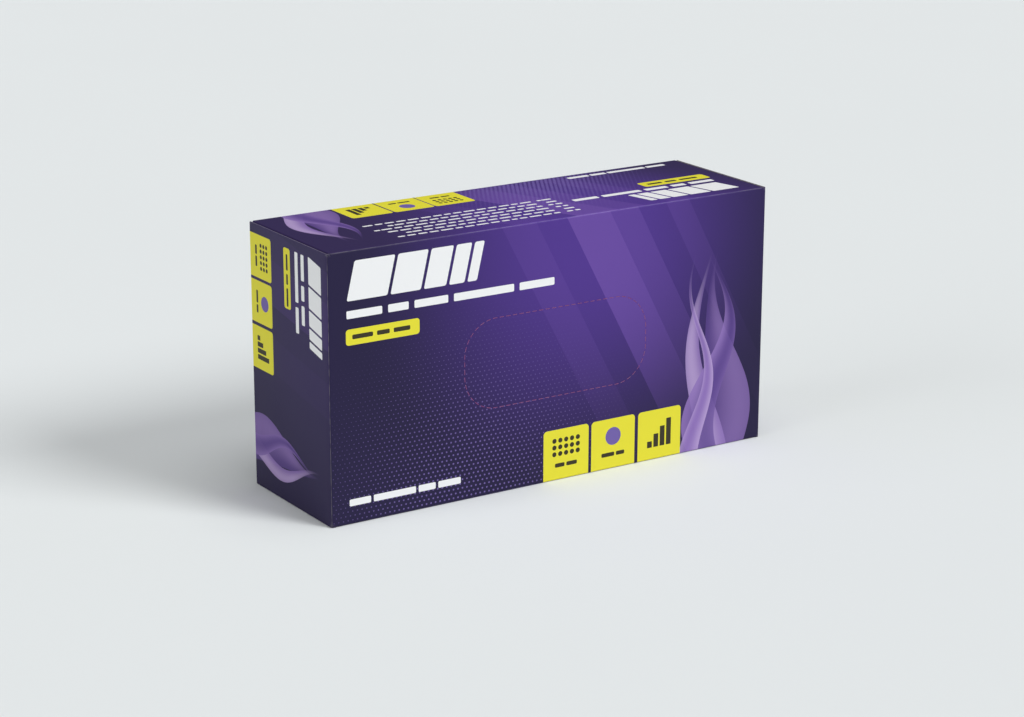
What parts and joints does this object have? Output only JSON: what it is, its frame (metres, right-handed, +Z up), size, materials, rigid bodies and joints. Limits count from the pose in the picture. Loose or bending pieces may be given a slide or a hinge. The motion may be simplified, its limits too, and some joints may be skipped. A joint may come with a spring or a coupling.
{
  "type": "glove dispenser carton",
  "caption": "Sealed folding-board carton for disposable gloves, with a perforated rounded tear-out panel in its front and glued flaps closing both ends.",
  "frame": {"origin": "centre of the bottom panel's outer face, where the carton stands", "axes": "+X along the length, -Y out of the front panel that holds the tear-out panel, +Z up"},
  "size_m": [0.24, 0.072, 0.126],
  "materials": {
    "printed_board": "satin",
    "tear_out_board": "satin",
    "plain_board": "matte"
  },
  "bodies": {
    "root": {"sleeve": "printed_board", "dispensing_panel": "tear_out_board", "left_outer_flap": "printed_board", "left_inner_flap": "plain_board", "left_top_dust_flap": "plain_board", "left_bottom_dust_flap": "plain_board", "right_outer_flap": "printed_board", "right_inner_flap": "plain_board", "right_top_dust_flap": "plain_board", "right_bottom_dust_flap": "plain_board"}
  },
  "joints": []
}
